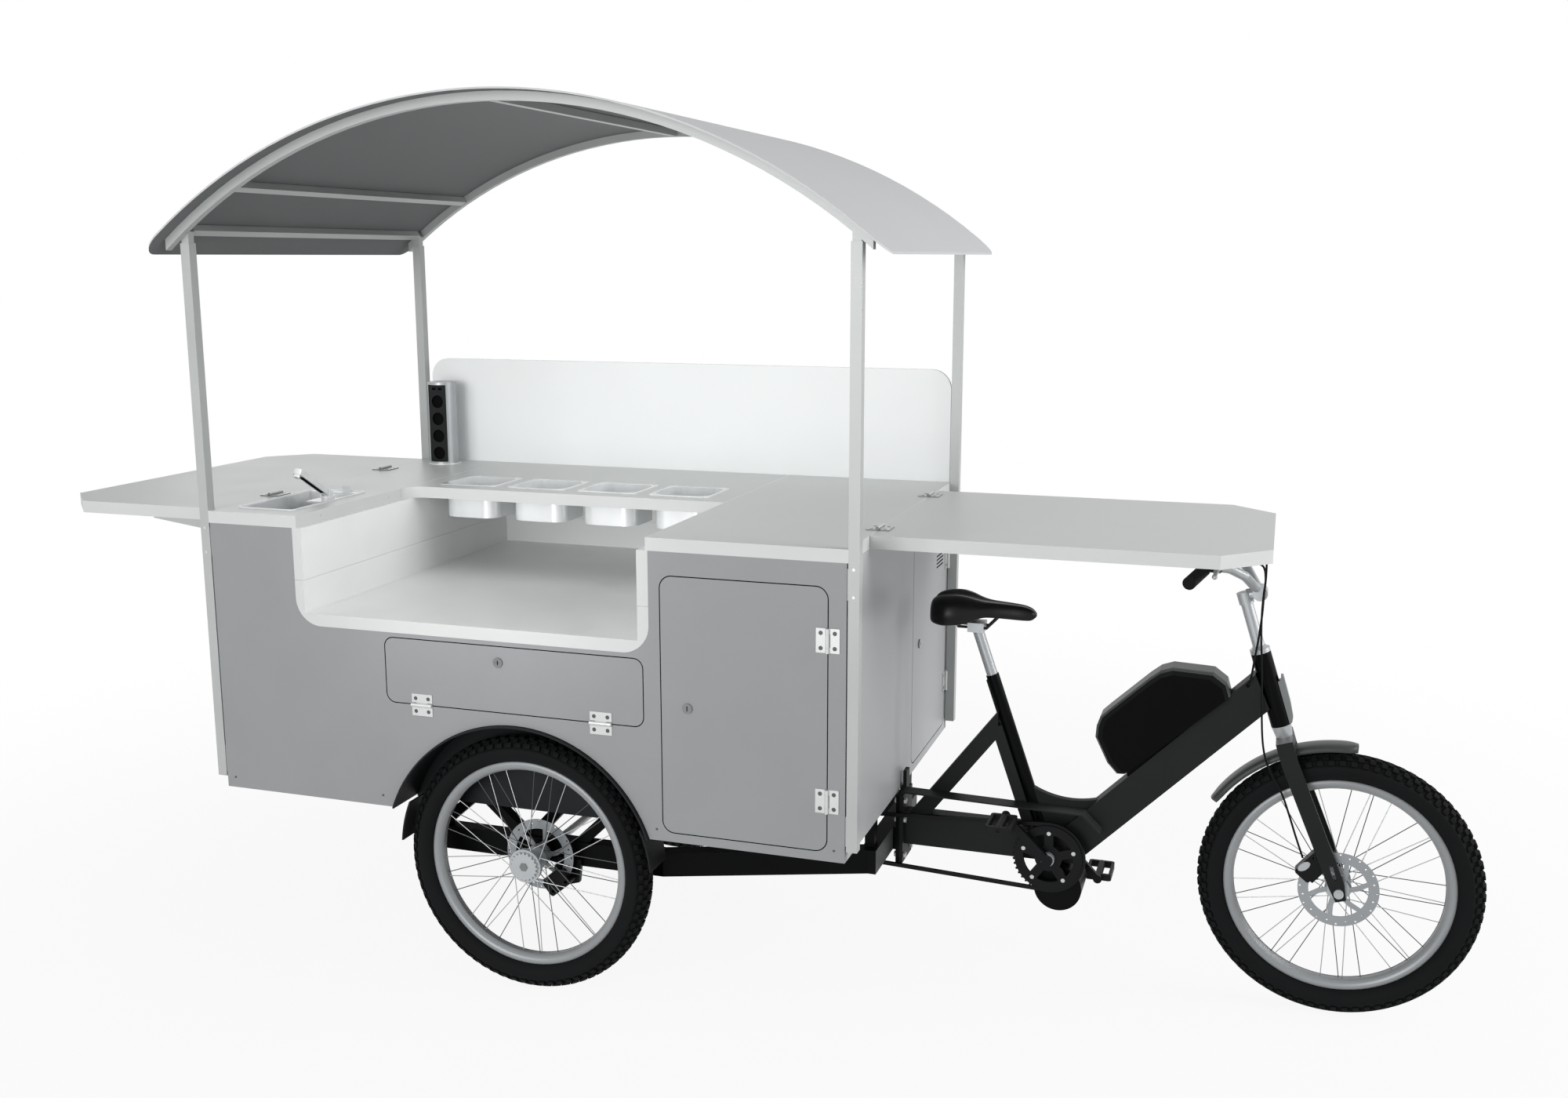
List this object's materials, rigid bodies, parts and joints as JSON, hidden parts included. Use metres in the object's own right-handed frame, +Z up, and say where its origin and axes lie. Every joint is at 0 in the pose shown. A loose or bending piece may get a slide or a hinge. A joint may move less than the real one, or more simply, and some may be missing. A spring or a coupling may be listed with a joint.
{
  "type": "bicycle food cart",
  "caption": "Pedal-driven food cart: grey service cabinet with open well, sink and pans, arched lift-up roof on posts, fold-up tables, and a motor-assisted cycle front end with a steered wheel.",
  "frame": {"origin": "on the ground, under the middle of the overall box", "axes": "+X is the way the cart rides and its longest side, +Y is its left, +Z is up"},
  "size_m": [3.5251, 1.174, 2.125],
  "materials": {
    "black_frame": "satin black coating",
    "cabinet": "grey laminated board",
    "board": "pale laminated board",
    "white_panel": "white sheet",
    "post_metal": "pale coated tube",
    "roof": "pale grey sheet",
    "steel": "brushed",
    "pan_steel": "polished",
    "tank": "natural",
    "mudguard": "matt black",
    "mudguard_grey": "grey",
    "wheel": "polished",
    "tyre": "treaded",
    "rubber": "matt",
    "plastic": "satin black",
    "dark_metal": "satin black",
    "bar_metal": "polished",
    "saddle": "black cover"
  },
  "bodies": {
    "cart": {"chassis_frame": "black_frame", "cabinet_floor": "cabinet", "side_panel_right": "cabinet", "side_panel_left": "cabinet", "rear_panel": "cabinet", "front_panel": "cabinet", "well_liner": "white_panel", "worktop": "board", "splash_panel": "white_panel", "post_sleeves": "post_metal", "hinges_and_screws": "steel", "sink": "steel", "tower_ring": "steel", "water_tanks": "tank", "rear_mudguards": "mudguard", "rear_calipers": "dark_metal", "bike_frame": "black_frame", "chain_guard": "black_frame", "motor": "black_frame", "chain": "dark_metal"},
    "roof": {"roof_sheet": "roof", "roof_frame": "post_metal"},
    "front_table": {"front_table": "board"},
    "rear_table": {"rear_table": "board"},
    "table_bracket_right": {"table_bracket_right": "post_metal"},
    "table_bracket_left": {"table_bracket_left": "post_metal"},
    "side_door": {"side_door": "cabinet"},
    "side_flap": {"side_flap": "cabinet"},
    "front_door": {"front_door": "cabinet"},
    "side_door_lock": {"side_door_lock": "steel"},
    "side_flap_lock": {"side_flap_lock": "steel"},
    "front_door_lock": {"front_door_lock": "steel"},
    "tap_spout": {"tap_spout": "steel"},
    "power_tower": {"power_tower": "plastic"},
    "pan_1": {"pan_1": "pan_steel"},
    "pan_2": {"pan_2": "pan_steel"},
    "pan_3": {"pan_3": "pan_steel"},
    "pan_4": {"pan_4": "pan_steel"},
    "rear_wheel_right": {"rear_tyre_right": "tyre", "rear_wheel_right": "wheel"},
    "rear_wheel_left": {"rear_tyre_left": "tyre", "rear_wheel_left": "wheel"},
    "drive_axle": {"drive_axle": "steel"},
    "crankset": {"crankset": "dark_metal"},
    "pedal_right": {"pedal_right": "plastic"},
    "pedal_left": {"pedal_left": "plastic"},
    "steering": {"fork": "black_frame", "handlebar": "bar_metal", "grips": "rubber", "front_mudguard": "mudguard_grey", "front_caliper": "dark_metal", "front_brake_cable": "rubber", "rear_brake_cable": "rubber"},
    "front_wheel": {"front_tyre": "tyre", "front_wheel": "wheel"},
    "lever_right": {"lever_right": "dark_metal"},
    "lever_left": {"lever_left": "dark_metal"},
    "seat": {"seat_post": "bar_metal", "saddle": "saddle"},
    "battery": {"battery": "plastic"}
  },
  "joints": [
    {"name": "rear_wheel_right_spin", "type": "hinge", "parent": "cart", "child": "rear_wheel_right", "pos_m": [-0.4221, -0.472, 0.32], "axis": [0, 1, 0], "continuous": true},
    {"name": "rear_wheel_left_spin", "type": "hinge", "parent": "cart", "child": "rear_wheel_left", "pos_m": [-0.4221, 0.472, 0.32], "axis": [0, 1, 0], "continuous": true},
    {"name": "crank_spin", "type": "hinge", "parent": "cart", "child": "crankset", "pos_m": [0.7745, 0, 0.325], "axis": [0, 1, 0], "continuous": true},
    {"name": "drive_axle_spin", "type": "hinge", "parent": "cart", "child": "drive_axle", "pos_m": [-0.4221, 0, 0.32], "axis": [0, 1, 0], "continuous": true},
    {"name": "pedal_right_spin", "type": "hinge", "parent": "crankset", "child": "pedal_right", "pos_m": [0.67056, -0.1475, 0.42895], "axis": [0, 1, 0], "continuous": true},
    {"name": "pedal_left_spin", "type": "hinge", "parent": "crankset", "child": "pedal_left", "pos_m": [0.87845, 0.1475, 0.22106], "axis": [0, 1, 0], "continuous": true},
    {"name": "steering_turn", "type": "hinge", "parent": "cart", "child": "steering", "pos_m": [1.298, 0, 0.683], "axis": [-0.309, 0, 0.9511], "range_deg": [-14, 14], "deforming": ["rear_brake_cable"]},
    {"name": "front_wheel_spin", "type": "hinge", "parent": "steering", "child": "front_wheel", "pos_m": [1.44296, 0, 0.32003], "axis": [0, 1, 0], "continuous": true},
    {"name": "lever_right_pull", "type": "hinge", "parent": "steering", "child": "lever_right", "pos_m": [1.13948, -0.14064, 1.08346], "axis": [0, 0, -1], "range_deg": [0, 12], "stiffness_Nm_per_rad": 1.5, "springref_deg": -5.73},
    {"name": "lever_left_pull", "type": "hinge", "parent": "steering", "child": "lever_left", "pos_m": [1.13948, 0.14064, 1.08346], "axis": [0, 0, 1], "range_deg": [0, 12], "stiffness_Nm_per_rad": 1.5, "springref_deg": -5.73},
    {"name": "front_table_fold", "type": "hinge", "parent": "cart", "child": "front_table", "pos_m": [0.3908, 0, 1.1573], "axis": [0, 1, 0], "range_deg": [-75, 0]},
    {"name": "rear_table_fold", "type": "hinge", "parent": "cart", "child": "rear_table", "pos_m": [-1.2488, 0, 1.1573], "axis": [0, 1, 0], "range_deg": [0, 90]},
    {"name": "table_bracket_right_swing", "type": "hinge", "parent": "cart", "child": "table_bracket_right", "pos_m": [-1.2565, -0.488, 1.095], "axis": [0, 0, -1], "range_deg": [0, 90]},
    {"name": "table_bracket_left_swing", "type": "hinge", "parent": "cart", "child": "table_bracket_left", "pos_m": [-1.2565, 0.488, 1.095], "axis": [0, 0, 1], "range_deg": [0, 90]},
    {"name": "side_door_open", "type": "hinge", "parent": "cart", "child": "side_door", "pos_m": [0.34625, -0.5335, 0.765], "axis": [0, 0, 1], "range_deg": [0, 110]},
    {"name": "front_door_open", "type": "hinge", "parent": "cart", "child": "front_door", "pos_m": [0.3925, 0.49575, 0.765], "axis": [0, 0, 1], "range_deg": [0, 100]},
    {"name": "side_flap_open", "type": "hinge", "parent": "cart", "child": "side_flap", "pos_m": [-0.4335, -0.5335, 0.70925], "axis": [1, 0, 0], "range_deg": [0, 95]},
    {"name": "side_door_lock_turn", "type": "hinge", "parent": "side_door", "child": "side_door_lock", "pos_m": [0.0162, -0.5285, 0.7647], "axis": [0, 1, 0], "range_deg": [-90, 0]},
    {"name": "side_flap_lock_turn", "type": "hinge", "parent": "side_flap", "child": "side_flap_lock", "pos_m": [-0.4605, -0.5285, 0.832], "axis": [0, 1, 0], "range_deg": [-90, 0]},
    {"name": "front_door_lock_turn", "type": "hinge", "parent": "front_door", "child": "front_door_lock", "pos_m": [0.3875, 0.174, 0.774], "axis": [-1, 0, 0], "range_deg": [-90, 0]},
    {"name": "roof_lift", "type": "slide", "parent": "cart", "child": "roof", "axis": [0, 0, 1], "range_m": [0, 0.25]},
    {"name": "tap_spout_fold", "type": "hinge", "parent": "cart", "child": "tap_spout", "pos_m": [-1.0915, -0.262, 1.166], "axis": [1, 0, 0], "range_deg": [0, 28]},
    {"name": "power_tower_lift", "type": "slide", "parent": "cart", "child": "power_tower", "axis": [0, 0, 1], "range_m": [-0.24, 0]},
    {"name": "pan_1_lift", "type": "slide", "parent": "cart", "child": "pan_1", "axis": [0, 0, 1], "range_m": [0, 0.15]},
    {"name": "pan_2_lift", "type": "slide", "parent": "cart", "child": "pan_2", "axis": [0, 0, 1], "range_m": [0, 0.15]},
    {"name": "pan_3_lift", "type": "slide", "parent": "cart", "child": "pan_3", "axis": [0, 0, 1], "range_m": [0, 0.15]},
    {"name": "pan_4_lift", "type": "slide", "parent": "cart", "child": "pan_4", "axis": [0, 0, 1], "range_m": [0, 0.15]},
    {"name": "seat_height", "type": "slide", "parent": "cart", "child": "seat", "axis": [-0.3305, 0, 0.9438], "range_m": [-0.08, 0.06]},
    {"name": "battery_removal", "type": "slide", "parent": "cart", "child": "battery", "axis": [-0.7071, 0, 0.7071], "range_m": [0, 0.08]}
  ],
  "couplings": [
    {"joint": "drive_axle_spin", "follows": "crank_spin", "ratio": 3.2308}
  ]
}
